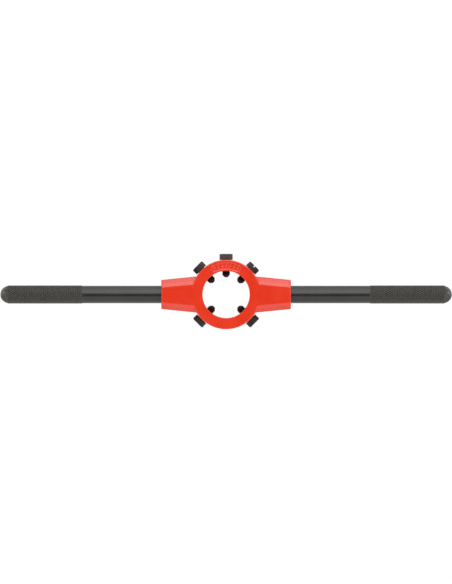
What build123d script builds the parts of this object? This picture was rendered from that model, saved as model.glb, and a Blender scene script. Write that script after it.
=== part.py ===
from build123d import *
from math import cos, radians, sin
import os

# Die stock for round threading dies of 38 mm outside diameter, 14 mm thick.
# Frame: origin on the ring's axis, in the face that the die goes in from, which is the
# face that the tool rests on. +Z runs up the ring's axis to the shoulder side, +X along
# the handles, +Y towards the spreading screw. All lengths in millimetres.

# ---------------------------------------------------------------- driving dimensions
# ring
ring_dia = 48.3
ring_height = 17.0
hole_dia = 32.8  # open hole on the shoulder side
recess_dia = 38.1  # seat for the 38 mm die
recess_depth = 13.0
ring_edge_round = 0.7
hole_edge_round = 0.4
recess_chamfer = 0.5

# where the ring's faces flare out into the flats of the bosses
pad_half = 6.45
pad_x = 25.35
flare_round = 2.8

# bosses, stated at the end face, at the foot and where the flats leave the ring's faces
boss_end_x = 45.1
boss_foot_x = 26.8
boss_step_x = 25.4
boss_root_x = 12.5  # buried in the ring before the hole is cut
boss_end_half = 10.15
boss_taper = 0.0995  # growth of the half width per mm towards the ring
boss_bevel_width = 3.7
boss_bevel_drop = 3.3
boss_end_height = 16.3
boss_foot_height = 16.82
boss_step_height = 16.96
bevel_round = 5.5
side_round = 1.0
boss_end_round = 0.7

# handle sockets
socket_dia = 10.1
socket_depth = 17.5
socket_mouth_chamfer = 0.6

# handles
handle_tip_x = 157.5
shank_dia = 12.2
grip_dia = 12.65
grip_inner_x = 100.2
grip_outer_x = 152.7
grip_edge = 0.35
stud_dia = 10.0
stud_length = 16.0
stud_relief_dia = 8.3
stud_relief_width = 2.0
stud_chamfer = 1.0

# screws
screw_z = 6.2  # 6.8 mm below the shoulder
screw_dia = 6.0
screw_hole_dia = 6.1
head_dia = 9.2
head_height = 4.2
head_round = 0.8
head_under_chamfer = 0.15
head_seat_r = 24.15  # under side of the head, from the ring's axis
slot_width = 1.6
slot_depth = 1.3
point_tip_r = 12.0  # flat end of the point, from the ring's axis
point_flat_dia = 2.0
point_core_dia = 4.9  # the cone reaches the thread's core
point_thread_r = 14.15  # the thread is full from here outwards

# cast panel with a row of lozenges, on the ring's upper face
panel_mid_r = 19.85
panel_width = 5.0
panel_half_angle = 24.0
panel_depth = 0.35
panel_slope = 60  # of the rim, from upright
lozenge_count = 7
lozenge_pitch_deg = 8.0
lozenge_long = 3.0
lozenge_short = 2.0
lozenge_height = 0.25
lozenge_slope = 68  # of the sides, from upright

mid_z = ring_height / 2

os.makedirs("parts", exist_ok=True)

# ------------------------------------------------------------------- the main casting
# The ring is a round disc whose outline flares into a short pad on each side, so that
# its flat faces run out into the flats of the bosses.
with BuildPart() as ring:
    with BuildSketch(Plane.XY) as outline:
        Circle(ring_dia / 2)
        Rectangle(2 * pad_x, 2 * pad_half)
        fillet(
            outline.vertices().filter_by(lambda v: abs(v.X) < ring_dia / 2),
            radius=flare_round,
        )
    extrude(amount=ring_height)
    levels = ring.edges().group_by(Axis.Z)
    fillet(levels[0] + levels[-1], radius=ring_edge_round)

# One boss: a flattened octagon with well rounded corners that tapers away from the ring. Its
# flats lie level with the ring's faces at the foot and fall off a little towards the end.
boss_sections = (
    (boss_root_x, boss_step_height),
    (boss_step_x, boss_step_height),
    (boss_foot_x, boss_foot_height),
    (boss_end_x, boss_end_height),
)

with BuildPart() as boss:
    for x, height in boss_sections:
        half = boss_end_half + boss_taper * (boss_end_x - x)
        rise = height / 2
        with BuildSketch(
            Plane(origin=(x, 0, mid_z), x_dir=(0, 1, 0), z_dir=(1, 0, 0))
        ) as section:
            Polygon(
                (half, rise - boss_bevel_drop),
                (half - boss_bevel_width, rise),
                (-(half - boss_bevel_width), rise),
                (-half, rise - boss_bevel_drop),
                (-half, -(rise - boss_bevel_drop)),
                (-(half - boss_bevel_width), -rise),
                (half - boss_bevel_width, -rise),
                (half, -(rise - boss_bevel_drop)),
                align=None,
            )
            fillet(
                section.vertices().filter_by(lambda v: abs(abs(v.Y) - rise) < 0.01),
                radius=bevel_round,
            )
            fillet(
                section.vertices().filter_by(lambda v: abs(abs(v.X) - half) < 0.01),
                radius=side_round,
            )
    loft(ruled=True)
    fillet(boss.faces().sort_by(Axis.X)[-1].edges(), radius=boss_end_round)

# Screw places, as angles round the ring from +X.
screw_angles = {
    "spreading_screw": 90,
    "upper_left_screw": 135,
    "upper_right_screw": 45,
    "lower_left_screw": 225,
    "lower_right_screw": 315,
}
# Turn of each slot about its screw, from the ring's axis.
slot_turns = {
    "spreading_screw": 78,
    "upper_left_screw": 64,
    "upper_right_screw": 6,
    "lower_left_screw": -70,
    "lower_right_screw": 24,
}
# How far each screw stands out from its seated place, mm.
screw_out = {
    "spreading_screw": 0.0,
    "upper_left_screw": 0.2,
    "upper_right_screw": 0.0,
    "lower_left_screw": 0.0,
    "lower_right_screw": 0.0,
}

with BuildPart() as stock_body:
    add(ring.part)
    add(boss.part)
    mirror(boss.part, about=Plane.YZ)

    # seat for the die and the open hole behind its shoulder, turned as one bore
    with BuildSketch(Plane.XZ):
        with BuildLine():
            seat_r = recess_dia / 2
            hole_r = hole_dia / 2
            Polyline(
                (hole_r + hole_edge_round, ring_height),
                (hole_r + hole_edge_round, ring_height + 1),
                (0, ring_height + 1),
                (0, -1),
                (seat_r + recess_chamfer + 1, -1),
                (seat_r, recess_chamfer),
                (seat_r, recess_depth),
                (hole_r, recess_depth),
                (hole_r, ring_height - hole_edge_round),
            )
            ThreePointArc(
                (hole_r, ring_height - hole_edge_round),
                (
                    hole_r + hole_edge_round * (1 - cos(radians(45))),
                    ring_height - hole_edge_round * (1 - sin(radians(45))),
                ),
                (hole_r + hole_edge_round, ring_height),
            )
        make_face()
    revolve(axis=Axis.Z, mode=Mode.SUBTRACT)

    # sunk panel with rounded ends and a sloped rim, centred on the spreading screw
    with BuildSketch(Plane.XY.offset(ring_height)):
        SlotArc(
            CenterArc(
                (0, 0),
                panel_mid_r,
                90 - panel_half_angle,
                2 * panel_half_angle,
                mode=Mode.PRIVATE,
            ),
            height=panel_width,
        )
    extrude(amount=-panel_depth, taper=panel_slope, mode=Mode.SUBTRACT)

    # row of raised lozenges on the panel's floor
    with BuildSketch(Plane.XY.offset(ring_height - panel_depth)):
        for i in range(lozenge_count):
            angle = 90 + (i - (lozenge_count - 1) / 2) * lozenge_pitch_deg
            with Locations(
                Location(
                    (
                        panel_mid_r * cos(radians(angle)),
                        panel_mid_r * sin(radians(angle)),
                        0,
                    ),
                    (0, 0, angle - 90),
                )
            ):
                Polygon(
                    (lozenge_short / 2, 0),
                    (0, lozenge_long / 2),
                    (-lozenge_short / 2, 0),
                    (0, -lozenge_long / 2),
                    align=None,
                )
    extrude(amount=lozenge_height, taper=lozenge_slope)

    # drilled sockets for the handles, with a drill point at the bottom
    with BuildSketch(Plane.XZ):
        with BuildLine():
            Polyline(
                (boss_end_x + 1, mid_z),
                (boss_end_x + 1, mid_z + socket_dia / 2 + socket_mouth_chamfer + 1),
                (boss_end_x - socket_mouth_chamfer, mid_z + socket_dia / 2),
                (boss_end_x - socket_depth, mid_z + socket_dia / 2),
                (boss_end_x - socket_depth - 0.3 * socket_dia, mid_z),
                close=True,
            )
        make_face()
    revolve(axis=Axis((0, 0, mid_z), (1, 0, 0)), mode=Mode.SUBTRACT)
    with BuildSketch(Plane.XZ):
        with BuildLine():
            Polyline(
                (-boss_end_x - 1, mid_z),
                (-boss_end_x - 1, mid_z + socket_dia / 2 + socket_mouth_chamfer + 1),
                (-boss_end_x + socket_mouth_chamfer, mid_z + socket_dia / 2),
                (-boss_end_x + socket_depth, mid_z + socket_dia / 2),
                (-boss_end_x + socket_depth + 0.3 * socket_dia, mid_z),
                close=True,
            )
        make_face()
    revolve(axis=Axis((0, 0, mid_z), (1, 0, 0)), mode=Mode.SUBTRACT)

    # tapped holes for the five screws, through the wall round the seat
    for angle in screw_angles.values():
        out = Vector(cos(radians(angle)), sin(radians(angle)), 0)
        start = out * (recess_dia / 2 - 4) + Vector(0, 0, screw_z)
        with BuildSketch(Plane(origin=start, z_dir=out)):
            Circle(screw_hole_dia / 2)
        extrude(amount=ring_dia / 2 - recess_dia / 2 + 8, mode=Mode.SUBTRACT)

stock_body.part.label = "stock_body"
export_step(stock_body.part, "parts/stock_body.step")

# ------------------------------------------------------------------------ the handles
# A round bar: reduced stud in the boss, shoulder against the boss's end face, smooth
# shank, slightly thicker grip with small edge chamfers, and a domed end.
with BuildPart() as right_handle:
    with BuildSketch(Plane.XZ):
        with BuildLine():
            stud_start = boss_end_x - stud_length
            dome_r = shank_dia / 2
            dome_x = handle_tip_x - dome_r
            dome_foot = (dome_r**2 - (grip_outer_x - dome_x) ** 2) ** 0.5
            Polyline(
                (grip_outer_x, mid_z + dome_foot),
                (grip_outer_x - grip_edge, mid_z + grip_dia / 2),
                (grip_inner_x + grip_edge, mid_z + grip_dia / 2),
                (grip_inner_x, mid_z + shank_dia / 2),
                (boss_end_x, mid_z + shank_dia / 2),
                (boss_end_x, mid_z + stud_relief_dia / 2),
                (boss_end_x - stud_relief_width, mid_z + stud_relief_dia / 2),
                (boss_end_x - stud_relief_width - 0.8, mid_z + stud_dia / 2),
                (stud_start + stud_chamfer, mid_z + stud_dia / 2),
                (stud_start, mid_z + stud_dia / 2 - stud_chamfer),
                (stud_start, mid_z),
                (handle_tip_x, mid_z),
            )
            ThreePointArc(
                (handle_tip_x, mid_z),
                (
                    dome_x + dome_r * cos(radians(45)),
                    mid_z + dome_r * sin(radians(45)),
                ),
                (grip_outer_x, mid_z + dome_foot),
            )
        make_face()
    revolve(axis=Axis((0, 0, mid_z), (1, 0, 0)))

with BuildPart() as left_handle:
    mirror(right_handle.part, about=Plane.YZ)

right_handle.part.label = "right_handle"
export_step(right_handle.part, "parts/right_handle.step")
left_handle.part.label = "left_handle"
export_step(left_handle.part, "parts/left_handle.step")

# ------------------------------------------------------------------------- the screws
# Slotted cheese-head screws with a cone point. Each is revolved about its own axis,
# which lies along a radius of the ring at the height of the die's dimples.


def screw_plane(angle, stand_out):
    out = Vector(cos(radians(angle)), sin(radians(angle)), 0)
    return Plane(
        origin=out * stand_out + Vector(0, 0, screw_z),
        x_dir=out,
        z_dir=out.cross(Vector(0, 0, 1)),
    )


for node, angle in screw_angles.items():
    plane = screw_plane(angle, screw_out[node])
    head_top = head_seat_r + head_height
    with BuildPart() as screw:
        with BuildSketch(plane):
            with BuildLine():
                Polyline(
                    (head_top, 0),
                    (point_tip_r, 0),
                    (point_tip_r, point_flat_dia / 2),
                    (
                        point_tip_r + (point_core_dia - point_flat_dia) / 2,
                        point_core_dia / 2,
                    ),
                    (point_thread_r, screw_dia / 2),
                    (head_seat_r, screw_dia / 2),
                    (head_seat_r, head_dia / 2 - head_under_chamfer),
                    (head_seat_r + head_under_chamfer, head_dia / 2),
                    (head_top - head_round, head_dia / 2),
                )
                ThreePointArc(
                    (head_top - head_round, head_dia / 2),
                    (
                        head_top - head_round + head_round * sin(radians(45)),
                        head_dia / 2 - head_round + head_round * cos(radians(45)),
                    ),
                    (head_top, head_dia / 2 - head_round),
                )
                Line((head_top, head_dia / 2 - head_round), (head_top, 0))
            make_face()
        out = plane.x_dir
        revolve(axis=Axis((0, 0, screw_z), out))
        turn = radians(slot_turns[node])
        side = out.cross(Vector(0, 0, 1))
        along = Vector(0, 0, 1) * cos(turn) + side * sin(turn)
        with BuildSketch(
            Plane(origin=plane.origin + out * head_top, x_dir=along, z_dir=out)
        ):
            Rectangle(head_dia + 2, slot_width)
        extrude(amount=-slot_depth, mode=Mode.SUBTRACT)
    screw.part.label = node
    export_step(screw.part, f"parts/{node}.step")
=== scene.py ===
import math

import bmesh
import bpy
from mathutils import Matrix, Vector


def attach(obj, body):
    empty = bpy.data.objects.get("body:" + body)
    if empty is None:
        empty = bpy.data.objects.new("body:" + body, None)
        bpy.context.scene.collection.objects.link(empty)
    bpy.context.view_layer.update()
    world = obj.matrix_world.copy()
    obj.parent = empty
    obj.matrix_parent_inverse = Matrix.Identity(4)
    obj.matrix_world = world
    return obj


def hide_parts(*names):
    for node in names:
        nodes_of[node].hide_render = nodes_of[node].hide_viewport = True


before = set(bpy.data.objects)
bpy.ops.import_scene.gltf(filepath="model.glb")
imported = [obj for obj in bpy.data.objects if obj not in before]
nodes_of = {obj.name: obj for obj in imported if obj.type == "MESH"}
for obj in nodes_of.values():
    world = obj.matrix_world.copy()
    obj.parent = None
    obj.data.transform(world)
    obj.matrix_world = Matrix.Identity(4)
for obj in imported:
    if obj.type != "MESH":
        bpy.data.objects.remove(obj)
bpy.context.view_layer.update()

MM = 0.001
scene = bpy.context.scene

# ------------------------------------------------------------------ sizes, millimetres
MID_Z = 8.5
END_X = 45.1
TIP_X = 157.5
SHANK_R = 6.1
GRIP_R = 6.325
GRIP_IN = 100.2
SCREW_Z = 6.2
# angle round the ring, turn of the slot, stand-out from the seated place, body, how brown
# the oxide is, partly a painted light level, and the painted light and shade from one side of
# the head to the other
SCREWS = {
    "spreading_screw": (90, 78, 0.0, "spreader", 0.88, -0.25),
    "upper_left_screw": (135, 64, 0.2, "adjuster_left", 0.34, 0.55),
    "upper_right_screw": (45, 6, 0.0, "adjuster_right", 0.34, -0.45),
    "lower_left_screw": (225, -70, 0.0, "holder_left", 0.06, -0.15),
    "lower_right_screw": (315, 24, 0.0, "holder_right", 0.12, -0.2),
}

# ------------------------------------------------------------------------- camera
# Straight down on the ring, whose axis stands just below the middle of the picture.
PX = 0.6975  # mm per pixel at the height of the handles
DIST = 2500.0
cam_data = bpy.data.cameras.new("camera")
cam_data.type = "PERSP"
cam_data.sensor_width = 36.0
cam_data.lens = 36.0 * DIST / (584 * PX)
cam_data.clip_start = 0.05
cam_data.clip_end = 20.0
cam = bpy.data.objects.new("camera", cam_data)
scene.collection.objects.link(cam)
cam.location = (-0.1 * PX * MM, 2.5 * PX * MM, (DIST + MID_Z) * MM)
cam.rotation_euler = (0.0, 0.0, 0.0)
scene.camera = cam

scene.view_settings.view_transform = "Standard"
scene.view_settings.look = "None"
scene.view_settings.exposure = 0.0
scene.view_settings.gamma = 1.0


# ------------------------------------------------------------------- node tree helpers
class Tree:
    """Adds nodes and links with short calls."""

    def __init__(self, tree):
        self.tree = tree
        tree.nodes.clear()

    def add(self, kind, **settings):
        node = self.tree.nodes.new(kind)
        for key, value in settings.items():
            setattr(node, key, value)
        return node

    def link(self, out, socket):
        self.tree.links.new(out, socket)

    def put(self, value, socket):
        if isinstance(value, bpy.types.NodeSocket):
            self.link(value, socket)
        else:
            socket.default_value = value

    def math(self, op, a, b=0.0, c=0.0, clamp=False):
        node = self.add("ShaderNodeMath", operation=op, use_clamp=clamp)
        for value, socket in zip((a, b, c), node.inputs):
            self.put(value, socket)
        return node.outputs[0]

    def smooth(self, value, lo, hi, to_lo=0.0, to_hi=1.0, kind="SMOOTHSTEP"):
        node = self.add("ShaderNodeMapRange", interpolation_type=kind)
        for v, name in (
            (value, "Value"),
            (lo, "From Min"),
            (hi, "From Max"),
            (to_lo, "To Min"),
            (to_hi, "To Max"),
        ):
            self.put(v, node.inputs[name])
        return node.outputs[0]

    def noise(self, vector, scale, detail=3.0, rough=0.5, distort=0.0):
        node = self.add("ShaderNodeTexNoise")
        self.link(vector, node.inputs["Vector"])
        node.inputs["Scale"].default_value = scale
        node.inputs["Detail"].default_value = detail
        node.inputs["Roughness"].default_value = rough
        node.inputs["Distortion"].default_value = distort
        return node.outputs["Fac"]

    def mix(self, fac, a, b, blend="MIX"):
        node = self.add("ShaderNodeMix", data_type="RGBA", blend_type=blend)
        colour_sockets = [s for s in node.inputs if s.type == "RGBA"]
        self.put(fac, node.inputs["Factor"])
        self.put(a, colour_sockets[0])
        self.put(b, colour_sockets[1])
        return [s for s in node.outputs if s.type == "RGBA"][0]

    def ramp(self, fac, stops, interpolation="LINEAR"):
        node = self.add("ShaderNodeValToRGB")
        ramp = node.color_ramp
        ramp.interpolation = interpolation
        while len(ramp.elements) > 1:
            ramp.elements.remove(ramp.elements[-1])
        ramp.elements[0].position = stops[0][0]
        ramp.elements[0].color = stops[0][1]
        for pos, colour in stops[1:]:
            ramp.elements.new(pos).color = colour
        self.link(fac, node.inputs["Fac"])
        return node.outputs["Color"]

    def bump(self, height, distance, strength=1.0, normal=None):
        node = self.add("ShaderNodeBump")
        node.inputs["Strength"].default_value = strength
        node.inputs["Distance"].default_value = distance
        self.link(height, node.inputs["Height"])
        if normal is not None:
            self.link(normal, node.inputs["Normal"])
        return node.outputs["Normal"]

    def place(self, scale=(1000.0, 1000.0, 1000.0)):
        """The point on the piece at rest, in millimetres, with the axes stretched by scale."""
        coord = self.add("ShaderNodeTexCoord")
        mapping = self.add("ShaderNodeMapping")
        mapping.inputs["Scale"].default_value = scale
        self.link(coord.outputs["Object"], mapping.inputs["Vector"])
        return mapping.outputs["Vector"]


def shader_material(name):
    mat = bpy.data.materials.new(name)
    mat.use_nodes = True
    t = Tree(mat.node_tree)
    out = t.add("ShaderNodeOutputMaterial")
    bsdf = t.add("ShaderNodeBsdfPrincipled")
    t.link(bsdf.outputs[0], out.inputs["Surface"])
    return mat, t, bsdf


# ------------------------------------------------------------------------ materials
RED_DEEP = (0.647, 0.0280, 0.0070, 1.0)
RED_LIGHT = (0.693, 0.0377, 0.0113, 1.0)
RED_GRAIN = (0.575, 0.0200, 0.0083, 1.0)
RED_PAINTED_SHADE = (0.358, 0.0183, 0.0083, 1.0)


def red_paint():
    """Gloss red enamel over a sand casting: slight waves, fine orange peel, a thinner coat
    along the edges, and painted shade that darkens the edges and the steep walls."""
    mat, t, bsdf = shader_material("red_enamel")
    p = t.place()
    cloud = t.noise(p, 0.09, 2.0)
    grain = t.noise(p, 0.9, 4.0, 0.6)
    base = t.mix(
        t.smooth(cloud, 0.3, 0.7),
        RED_DEEP,
        RED_LIGHT,
    )
    base = t.mix(t.smooth(grain, 0.35, 0.75, 0.0, 0.35), base, RED_GRAIN)
    # edges: where a bevelled normal leaves the surface's own, the coat is thinner and the
    # colour is darkened as painted shade
    geo = t.add("ShaderNodeNewGeometry")
    bevel = t.add("ShaderNodeBevel", samples=6)
    bevel.inputs["Radius"].default_value = 0.0005
    dot = t.add("ShaderNodeVectorMath", operation="DOT_PRODUCT")
    t.link(bevel.outputs["Normal"], dot.inputs[0])
    t.link(geo.outputs["Normal"], dot.inputs[1])
    rubbed = t.smooth(dot.outputs["Value"], 0.997, 0.965)
    edge = t.smooth(dot.outputs["Value"], 0.985, 0.88)
    edge = t.math("MULTIPLY", edge, t.smooth(grain, 0.25, 0.6, 0.55, 1.0))
    base = t.mix(t.math("MULTIPLY", edge, 0.35), base, RED_PAINTED_SHADE)
    # painted shade: the steep walls, which face the side and get less light, are darkened too
    own = t.add("ShaderNodeTexCoord")
    slope = t.add("ShaderNodeSeparateXYZ")
    t.link(own.outputs["Normal"], slope.inputs[0])
    wall = t.smooth(t.math("ABSOLUTE", slope.outputs["Z"]), 0.62, 0.25)
    base = t.mix(t.math("MULTIPLY", wall, 0.35), base, RED_PAINTED_SHADE)
    t.link(base, bsdf.inputs["Base Color"])
    t.link(t.smooth(grain, 0.3, 0.7, 0.34, 0.44), bsdf.inputs["Roughness"])
    bsdf.inputs["Specular IOR Level"].default_value = 0.05
    facing = t.add("ShaderNodeLayerWeight")
    facing.inputs["Blend"].default_value = 0.5
    gloss = t.smooth(facing.outputs["Facing"], 0.28, 0.58, 1.0, 0.0)
    gloss = t.math("MULTIPLY", gloss, t.math("MULTIPLY_ADD", rubbed, -0.85, 1.0))
    t.link(gloss, bsdf.inputs["Coat Weight"])
    bsdf.inputs["Coat Roughness"].default_value = 0.08
    bsdf.inputs["Coat IOR"].default_value = 1.62
    # the casting's corners are soft where the bosses leave the ring, so the enamel bridges
    # the junction in a narrow fillet; the sunk panel and the ring's rims stay crisper
    coord = t.add("ShaderNodeTexCoord")
    split = t.add("ShaderNodeSeparateXYZ")
    t.link(coord.outputs["Object"], split.inputs[0])
    fillet = t.add("ShaderNodeBevel", samples=8)
    t.link(
        t.smooth(t.math("ABSOLUTE", split.outputs["X"]), 0.0150, 0.0210, 0.00035, 0.0012),
        fillet.inputs["Radius"],
    )
    waves = t.bump(t.noise(p, 0.16, 1.0), 0.00011, normal=fillet.outputs["Normal"])
    peel = t.bump(t.noise(p, 1.1, 2.0, 0.45), 0.0000085, normal=waves)
    t.link(peel, bsdf.inputs["Normal"])
    t.link(peel, bsdf.inputs["Coat Normal"])
    return mat


def black_steel():
    """Black oxide on a drawn and turned bar, smooth on the shank and duller on the
    knurl, with the crests of the diamonds lighter, partly rubbed wear and partly a painted
    highlight."""
    mat, t, bsdf = shader_material("black_oxide_bar")
    p = t.place()
    coord = t.add("ShaderNodeTexCoord")
    split = t.add("ShaderNodeSeparateXYZ")
    t.link(coord.outputs["Object"], split.inputs[0])
    reach = t.math("ABSOLUTE", split.outputs["X"])
    grip = t.math(
        "MULTIPLY",
        t.smooth(reach, 0.1000, 0.1005),
        t.smooth(reach, 0.1529, 0.1524),
    )
    dome = t.smooth(reach, 0.1524, 0.1532)
    crest = t.add("ShaderNodeAttribute")
    crest.attribute_name = "crest"
    along = t.place((60.0, 900.0, 900.0))
    cloud = t.noise(p, 0.07, 3.0, 0.55)
    streak = t.noise(along, 0.8, 3.0, 0.6)
    base = t.mix(
        t.smooth(cloud, 0.3, 0.7), (0.0075, 0.0075, 0.0077, 1.0), (0.0130, 0.0127, 0.0122, 1.0)
    )
    base = t.mix(
        t.smooth(streak, 0.45, 0.8, 0.0, 0.35), base, (0.0217, 0.0208, 0.0200, 1.0)
    )
    base = t.mix(t.math("MULTIPLY", grip, 0.9), base, (0.0440, 0.0432, 0.0403, 1.0))
    base = t.mix(t.math("MULTIPLY", dome, 0.8), base, (0.0520, 0.0512, 0.0490, 1.0))
    # crests lighter as rubbed wear and painted highlight, leaving the grooves between them
    # darker as painted shade
    crest_rub_and_painted_highlight = t.math("MULTIPLY", crest.outputs["Fac"], grip)
    base = t.mix(t.math("MULTIPLY", crest_rub_and_painted_highlight, 0.6), base, (0.0980, 0.0962, 0.0910, 1.0))
    t.link(base, bsdf.inputs["Base Color"])
    rough = t.smooth(streak, 0.3, 0.7, 0.42, 0.52)
    t.link(t.math("MULTIPLY_ADD", grip, 0.12, rough), bsdf.inputs["Roughness"])
    bsdf.inputs["Specular IOR Level"].default_value = 0.12
    # the oil film gives the gloss: full on the smooth shank, rubbed off on one side of the
    # domed end, where it is laid down, and thin on the knurl
    facing = t.add("ShaderNodeLayerWeight")
    facing.inputs["Blend"].default_value = 0.5
    film = t.smooth(facing.outputs["Facing"], 0.30, 0.80, 0.92, 0.42)
    film = t.math("MULTIPLY", film, t.math("MULTIPLY_ADD", grip, -0.68, 1.0))
    worn = t.smooth(split.outputs["Y"], -0.0022, 0.0012, 0.7, -0.1)
    worn = t.math("MULTIPLY", worn, dome)
    film = t.math("MULTIPLY", film, t.math("SUBTRACT", 1.0, worn))
    film = t.math("MULTIPLY", film, t.smooth(streak, 0.3, 0.7, 1.05, 0.95))
    t.link(film, bsdf.inputs["Coat Weight"])
    bsdf.inputs["Coat Roughness"].default_value = 0.21
    bsdf.inputs["Coat IOR"].default_value = 1.49
    waves = t.bump(t.noise(t.place((55.0, 160.0, 160.0)), 1.0, 1.5), 0.00010)
    lines = t.bump(streak, 0.0000035, normal=waves)
    t.link(lines, bsdf.inputs["Normal"])
    t.link(lines, bsdf.inputs["Coat Normal"])
    return mat


def screw_steel():
    """Black oxide on turned screws: dull, with fine turning marks and rubbed edges, and
    darker with oil on the threads and points."""
    mat, t, bsdf = shader_material("black_oxide_screw")
    p = t.place()
    cloud = t.noise(p, 0.5, 3.0, 0.55)
    fine = t.noise(p, 6.0, 3.0, 0.6)
    base = t.mix(
        t.smooth(cloud, 0.3, 0.7), (0.0205, 0.0178, 0.0192, 1.0), (0.0282, 0.0248, 0.0264, 1.0)
    )
    # how brown the oxide has come out on this screw, partly a painted light level, with
    # painted light and shade across the head
    oxide_tone_and_painted_light = t.add("ShaderNodeAttribute")
    oxide_tone_and_painted_light.attribute_name = "oxide_tone_and_painted_light"
    brown = t.mix(
        t.smooth(cloud, 0.3, 0.7), (0.0700, 0.0490, 0.0485, 1.0), (0.0890, 0.0630, 0.0620, 1.0)
    )
    base = t.mix(oxide_tone_and_painted_light.outputs["Fac"], base, brown)
    geo = t.add("ShaderNodeNewGeometry")
    bevel = t.add("ShaderNodeBevel", samples=6)
    bevel.inputs["Radius"].default_value = 0.00018
    dot = t.add("ShaderNodeVectorMath", operation="DOT_PRODUCT")
    t.link(bevel.outputs["Normal"], dot.inputs[0])
    t.link(geo.outputs["Normal"], dot.inputs[1])
    edge = t.smooth(dot.outputs["Value"], 0.99, 0.85)
    edge = t.math("MULTIPLY", edge, t.smooth(fine, 0.35, 0.65, 0.2, 1.0))
    base = t.mix(t.math("MULTIPLY", edge, 0.5), base, (0.060, 0.053, 0.050, 1.0))
    coord = t.add("ShaderNodeTexCoord")
    flat = t.add("ShaderNodeVectorMath", operation="MULTIPLY")
    flat.inputs[1].default_value = (1.0, 1.0, 0.0)
    t.link(coord.outputs["Object"], flat.inputs[0])
    reach = t.add("ShaderNodeVectorMath", operation="LENGTH")
    t.link(flat.outputs[0], reach.inputs[0])
    oiled = t.smooth(reach.outputs["Value"], 0.0228, 0.0236, 1.0, 0.0)
    base = t.mix(oiled, base, (0.0160, 0.0108, 0.0104, 1.0))
    t.link(base, bsdf.inputs["Base Color"])
    rough = t.math("ADD", t.smooth(fine, 0.3, 0.7, 0.46, 0.58), t.math("MULTIPLY", oiled, 0.1))
    t.link(rough, bsdf.inputs["Roughness"])
    bsdf.inputs["Specular IOR Level"].default_value = 0.15
    t.link(t.bump(fine, 0.000006), bsdf.inputs["Normal"])
    return mat


def floor_paper():
    """Lit white studio table."""
    mat, t, bsdf = shader_material("white_table")
    p = t.place()
    fibre = t.noise(p, 0.05, 3.0)
    base = t.mix(
        t.smooth(fibre, 0.3, 0.7), (0.046, 0.046, 0.046, 1.0), (0.052, 0.052, 0.052, 1.0)
    )
    t.link(base, bsdf.inputs["Base Color"])
    bsdf.inputs["Roughness"].default_value = 0.9
    bsdf.inputs["Specular IOR Level"].default_value = 0.1
    bsdf.inputs["Emission Color"].default_value = (1.0, 1.0, 1.0, 1.0)
    bsdf.inputs["Emission Strength"].default_value = 0.97
    return mat


# ----------------------------------------------------------------------- mesh helpers
def new_object(name, bm, smooth_deg):
    bmesh.ops.recalc_face_normals(bm, faces=bm.faces)
    mesh = bpy.data.meshes.new(name)
    bm.to_mesh(mesh)
    bm.free()
    mesh.shade_smooth()
    mesh.set_sharp_from_angle(angle=math.radians(smooth_deg))
    obj = bpy.data.objects.new(name, mesh)
    scene.collection.objects.link(obj)
    return obj


def bridge(bm, a, b):
    n = len(a)
    for i in range(n):
        j = (i + 1) % n
        bm.faces.new((a[i], a[j], b[j], b[i]))


# -------------------------------------------------------------------------- handles
STARTS = 28  # grooves round the grip in each direction, 1.2 mm apart, 30 degrees to the axis
ROW = 1.232  # mm between rows of crossings
ROWS = 42
KNURL_X0 = 100.45
GROOVE_R = 5.9
LAND = 0.36  # flat land on each diamond, as a share of its size
STEP = 2 * math.pi / STARTS


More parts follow.
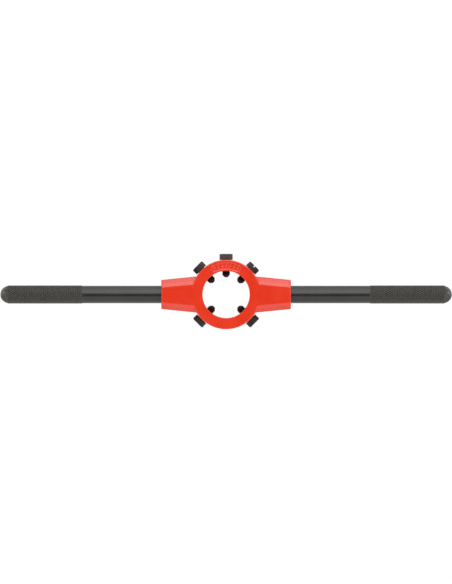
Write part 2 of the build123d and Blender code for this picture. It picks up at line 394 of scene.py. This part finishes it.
def build_handle(name, side, material):
    """A bar with a stud, a smooth shank, a diamond knurled grip and a domed end."""
    bm = bmesh.new()
    crest_layer = bm.verts.layers.float.new("crest")

    def vert(x, r, a, crest=0.0):
        v = bm.verts.new(
            (
                side * x * MM,
                r * math.cos(a) * MM,
                (MID_Z + r * math.sin(a)) * MM,
            )
        )
        v[crest_layer] = crest
        return v

    angles = []
    for m in range(STARTS):
        c = m * STEP
        angles += [c, c + STEP * (0.5 - LAND / 2), c + STEP * (0.5 + LAND / 2)]

    def ring(x, r):
        return [vert(x, r, a) for a in angles]

    # stud, shoulder and smooth shank, out to the knurl
    profile = [
        (END_X - 16.0, 4.0),
        (END_X - 15.0, 5.0),
        (END_X - 2.8, 5.0),
        (END_X - 2.0, 4.15),
        (END_X, 4.15),
        (END_X, SHANK_R - 0.12),
        (END_X + 0.12, SHANK_R),
        (60.0, SHANK_R),
        (75.0, SHANK_R),
        (90.0, SHANK_R),
        (GRIP_IN - 0.35, SHANK_R),
        (GRIP_IN, SHANK_R - 0.03),
    ]
    rings = [ring(x, r) for x, r in profile]
    bm.faces.new(rings[0])
    for a, b in zip(rings, rings[1:]):
        bridge(bm, a, b)

    # knurl: the grooves cross at the low points, and each diamond keeps a small land
    last_x = KNURL_X0 + ROWS * ROW
    crossings, lands = [], []
    for k in range(ROWS + 1):
        x = KNURL_X0 + k * ROW
        odd = 0.5 * (k % 2)
        ends = k in (0, ROWS)
        top = GRIP_R - (0.1 if ends else 0.0)
        low = GROOVE_R + (0.04 if ends else 0.0)
        crossings.append([vert(x, low, (m + odd) * STEP) for m in range(STARTS)])
        row = []
        for m in range(STARTS):
            c = (m + 0.5 + odd) * STEP
            row.append(
                {
                    "L": vert(x, top, c - LAND * STEP / 2, 1.0),
                    "R": vert(x, top, c + LAND * STEP / 2, 1.0),
                    "F": vert(x + LAND * ROW, GRIP_R, c, 1.0) if k < ROWS else None,
                    "B": vert(x - LAND * ROW, GRIP_R, c, 1.0) if k > 0 else None,
                }
            )
        lands.append(row)
    for k in range(ROWS + 1):
        odd = k % 2
        for m in range(STARTS):
            t = lands[k][m]
            left, right = crossings[k][m], crossings[k][(m + 1) % STARTS]
            other = (m + odd) % STARTS
            if t["F"] is not None:
                front = crossings[k + 1][other]
                bm.faces.new((right, front, t["F"], t["R"]))
                bm.faces.new((front, left, t["L"], t["F"]))
            if t["B"] is not None:
                back = crossings[k - 1][other]
                bm.faces.new((left, back, t["B"], t["L"]))
                bm.faces.new((back, right, t["R"], t["B"]))
            if t["F"] is not None and t["B"] is not None:
                bm.faces.new((t["L"], t["B"], t["R"], t["F"]))
            elif t["F"] is not None:
                bm.faces.new((t["L"], t["R"], t["F"]))
            else:
                bm.faces.new((t["L"], t["B"], t["R"]))

    def edge_ring(k):
        # the zigzag's own row of vertices, in the order of the angles
        out = []
        for m in range(STARTS):
            out += [crossings[k][m], lands[k][m]["L"], lands[k][m]["R"]]
        return out

    bridge(bm, rings[-1], edge_ring(0))

    # domed end
    dome_x = TIP_X - SHANK_R
    foot = math.asin((last_x + 0.4 - dome_x) / SHANK_R)
    steps = 14
    previous = edge_ring(ROWS)
    for i in range(steps):
        a = foot + (math.pi / 2 - foot) * i / steps
        row = ring(dome_x + SHANK_R * math.sin(a), SHANK_R * math.cos(a))
        bridge(bm, previous, row)
        previous = row
    apex = vert(TIP_X, 0.0, 0.0)
    for i in range(len(previous)):
        bm.faces.new((previous[i], previous[(i + 1) % len(previous)], apex))

    obj = new_object(name, bm, 24.0)
    obj.data.materials.append(material)
    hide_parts(name.replace("_bar", ""))
    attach(obj, "housing")
    return obj


# --------------------------------------------------------------------------- screws
PITCH = 1.0
MAJOR = 2.98
MINOR = 2.42
SEAT = 24.15
HEAD_TOP = 28.35
HEAD_R = 4.6
HEAD_ROUND = 0.8
POINT_X = 12.0
POINT_R = 1.0
CORE_X = 13.45
SLOT_HALF = 0.8
SLOT_DEPTH = 1.3
# one pitch of the thread, as shares of the pitch and radii: crest flat, flank, root
PHASES = (
    (0.0, MAJOR),
    (0.125, MAJOR),
    (0.43, MINOR),
    (0.5625, MINOR - 0.025),
    (0.695, MINOR),
)


def build_screw(name, angle_deg, turn_deg, stand_out, body, oxide_tone_and_painted_light, material):
    """Slotted cheese-head screw with a helical thread and a cone point."""
    seg = 72
    bm = bmesh.new()
    # local frame: x along the screw, outwards from the ring's axis
    angles = [2 * math.pi * i / seg for i in range(seg)]

    def surface(u, r_thread):
        """Point of the screw's surface for a place u along it, which may run past its
        ends: there it goes on across the flat point or the under side of the head."""
        if u <= POINT_X:
            return POINT_X, max(0.0, POINT_R - (POINT_X - u))
        if u >= SEAT:
            return SEAT, min(HEAD_R - 0.15, 2.6 + (u - SEAT) * 2.0)
        cone = POINT_R + (u - POINT_X)
        if u > CORE_X:
            cone = POINT_R + (CORE_X - POINT_X) + (u - CORE_X) * 0.75
        under = MINOR + max(0.0, u - 23.2) * 0.2
        return u, min(max(r_thread, min(under, 2.6)), cone)

    first, last = POINT_X - POINT_R - 2 * PITCH, SEAT + 1.0 + 2 * PITCH
    turns = int(math.ceil((last - first) / PITCH))
    rows = []
    for t in range(turns):
        for share, r in PHASES:
            row = []
            for i, a in enumerate(angles):
                u = first + (t + share + i / seg) * PITCH
                x, rr = surface(u, r)
                row.append(
                    bm.verts.new((x * MM, rr * math.cos(a) * MM, rr * math.sin(a) * MM))
                )
            rows.append(row)
    per = len(PHASES)
    for k in range(len(rows) - 1):
        for i in range(seg - 1):
            bm.faces.new((rows[k][i], rows[k][i + 1], rows[k + 1][i + 1], rows[k + 1][i]))
        if k + per + 1 < len(rows):
            bm.faces.new(
                (rows[k][-1], rows[k + per][0], rows[k + per + 1][0], rows[k + 1][-1])
            )

    def ring(x, r):
        return [
            bm.verts.new((x * MM, r * math.cos(a) * MM, r * math.sin(a) * MM))
            for a in angles
        ]

    head = [
        ring(SEAT, HEAD_R - 0.15),
        ring(SEAT + 0.15, HEAD_R),
        ring(HEAD_TOP - HEAD_ROUND, HEAD_R),
    ]
    for i in range(1, 7):
        a = math.radians(15 * i)
        head.append(
            ring(
                HEAD_TOP - HEAD_ROUND * (1 - math.sin(a)),
                HEAD_R - HEAD_ROUND * (1 - math.cos(a)),
            )
        )
    for a, b in zip(head, head[1:]):
        bridge(bm, a, b)
    bm.faces.new(head[-1])
    bmesh.ops.remove_doubles(bm, verts=bm.verts, dist=2e-7)
    bmesh.ops.dissolve_degenerate(bm, edges=bm.edges, dist=2e-7)
    loose = [v for v in bm.verts if not v.link_faces]
    bmesh.ops.delete(bm, geom=loose, context="VERTS")
    bmesh.ops.recalc_face_normals(bm, faces=bm.faces)

    # into the shared frame
    angle = math.radians(angle_deg)
    out = Vector((math.cos(angle), math.sin(angle), 0.0))
    up = Vector((0.0, 0.0, 1.0))
    side = out.cross(up)
    frame_m = Matrix(
        (
            (out.x, -side.x, up.x, out.x * stand_out * MM),
            (out.y, -side.y, up.y, out.y * stand_out * MM),
            (out.z, -side.z, up.z, SCREW_Z * MM),
            (0.0, 0.0, 0.0, 1.0),
        )
    )
    bm.transform(frame_m)
    mesh = bpy.data.meshes.new(name + "_turned")
    bm.to_mesh(mesh)
    bm.free()
    obj = bpy.data.objects.new(name + "_turned", mesh)
    scene.collection.objects.link(obj)

    # the slot, with a small chamfer along its two edges
    turn = math.radians(turn_deg)
    along = up * math.cos(turn) + side * math.sin(turn)
    across = out.cross(along)
    half, depth, cham = SLOT_HALF, SLOT_DEPTH, 0.09
    outline = [
        (half, -depth),
        (half, -cham),
        (half + cham + 1.0, 1.0),
        (-half - cham - 1.0, 1.0),
        (-half, -cham),
        (-half, -depth),
    ]
    cutter_bm = bmesh.new()
    origin = Vector((0, 0, SCREW_Z)) + out * (HEAD_TOP + stand_out)
    ends = []
    for reach in (-5.8, 5.8):
        ends.append(
            [
                cutter_bm.verts.new((origin + across * w + out * h + along * reach) * MM)
                for w, h in outline
            ]
        )
    bridge(cutter_bm, ends[0], ends[1])
    cutter_bm.faces.new(ends[0])
    cutter_bm.faces.new(ends[1])
    bmesh.ops.recalc_face_normals(cutter_bm, faces=cutter_bm.faces)
    cutter_mesh = bpy.data.meshes.new("slot_cutter")
    cutter_bm.to_mesh(cutter_mesh)
    cutter_bm.free()
    cutter = bpy.data.objects.new("slot_cutter", cutter_mesh)
    scene.collection.objects.link(cutter)
    cut = obj.modifiers.new("slot", "BOOLEAN")
    cut.operation = "DIFFERENCE"
    cut.solver = "EXACT"
    cut.object = cutter
    bpy.context.view_layer.update()
    graph = bpy.context.evaluated_depsgraph_get()
    done = bpy.data.meshes.new_from_object(obj.evaluated_get(graph))
    obj.modifiers.clear()
    obj.data = done
    bpy.data.objects.remove(cutter)
    done.shade_smooth()
    done.set_sharp_from_angle(angle=math.radians(28.0))
    done.materials.clear()
    done.materials.append(material)
    # painted light and shade: one side of the head lighter, the other darker, on top of the
    # screw's brownness
    layer = done.attributes.new("oxide_tone_and_painted_light", "FLOAT", "POINT")
    middle, painted_light_slope = oxide_tone_and_painted_light
    shares = [v.co.dot(side) / (HEAD_R * MM) for v in done.vertices]
    layer.data.foreach_set(
        "value", [min(1.0, max(0.0, middle + painted_light_slope * u * abs(u))) for u in shares]
    )
    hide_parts(name)
    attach(obj, body)
    return obj


# ------------------------------------------------------------------------- the object
red = red_paint()
black = black_steel()
screw_black = screw_steel()

stock = nodes_of["stock_body"]
stock.data.materials.clear()
stock.data.materials.append(red)

build_handle("right_handle_bar", 1.0, black)
build_handle("left_handle_bar", -1.0, black)
for screw, (angle, turn, stand_out, body, *oxide_tone_and_painted_light) in SCREWS.items():
    build_screw(screw, angle, turn, stand_out, body, oxide_tone_and_painted_light, screw_black)

# ---------------------------------------------------------------------- table and light
floor_bm = bmesh.new()
corners = [(-4, -4), (4, -4), (4, 4), (-4, 4)]
floor_bm.faces.new([floor_bm.verts.new((x, y, -0.00003)) for x, y in corners])
floor_mesh = bpy.data.meshes.new("table_top")
floor_bm.to_mesh(floor_mesh)
floor_bm.free()
floor = bpy.data.objects.new("table_top", floor_mesh)
scene.collection.objects.link(floor)
floor.data.materials.append(floor_paper())

# The room is a white tent: a brighter softbox wall above the picture, a dimmer one below
# it, and a dark strip overhead, along the handles, where the camera looks through.
world = bpy.data.worlds.new("studio_tent")
scene.world = world
world.use_nodes = True
w = Tree(world.node_tree)
w_out = w.add("ShaderNodeOutputWorld")
w_back = w.add("ShaderNodeBackground")
w.link(w_back.outputs[0], w_out.inputs["Surface"])
w_coord = w.add("ShaderNodeTexCoord")
w_split = w.add("ShaderNodeSeparateXYZ")
w.link(w_coord.outputs["Generated"], w_split.inputs[0])
dx, dy, dz = w_split.outputs
around = w.math("ARCTAN2", dy, dz)
place = w.math("MULTIPLY_ADD", around, 1 / (2 * math.pi), 0.5)


def grey_stops(pairs, top):
    """Ramp stops from pairs of an angle off the zenith in degrees and a brightness. The
    side below the picture is lit a little warmer."""
    out = []
    for a, v in pairs:
        warm = 1.0 if a < -17 else 0.0
        v = v / top
        out.append((0.5 + a / 360, (v, v * (1 - 0.02 * warm), v * (1 - 0.07 * warm), 1.0)))
    return out


TOP = 4.0
with_strip = w.ramp(
    place,
    grey_stops(
        [
            (-180, 0.9),
            (-90, 1.05),
            (-60, 1.38),
            (-40, 1.42),
            (-27, 1.25),
            (-17, 0.12),
            (6, 0.10),
            (14, 2.3),
            (24, 3.1),
            (45, 3.15),
            (66, 2.5),
            (90, 2.1),
            (180, 1.8),
        ],
        TOP,
    ),
)
no_strip = w.ramp(
    place,
    grey_stops(
        [
            (-180, 0.9),
            (-90, 0.5),
            (-75, 1.5),
            (-60, 2.7),
            (-30, 2.65),
            (-17, 1.58),
            (-12, 1.2),
            (6, 1.24),
            (24, 0.65),
            (50, 0.55),
            (66, 0.55),
            (75, 0.3),
            (90, 0.15),
            (180, 0.15),
        ],
        TOP,
    ),
)
far_end = w.ramp(
    place,
    grey_stops(
        [
            (-180, 0.4),
            (-90, 0.5),
            (-60, 1.3),
            (-30, 1.3),
            (-12, 0.6),
            (16, 0.6),
            (32, 3.5),
            (64, 3.5),
            (80, 0.5),
            (90, 0.15),
            (180, 0.15),
        ],
        TOP,
    ),
)
aside = w.math("ABSOLUTE", dx)
room = w.mix(w.smooth(aside, 0.28, 0.45), with_strip, no_strip)
room = w.mix(w.smooth(aside, 0.72, 0.85), room, far_end)
w.link(room, w_back.inputs["Color"])
w.link(
    w.math("MULTIPLY_ADD", dx, 0.12 * 0.85 * TOP, 0.85 * TOP),
    w_back.inputs["Strength"],
)
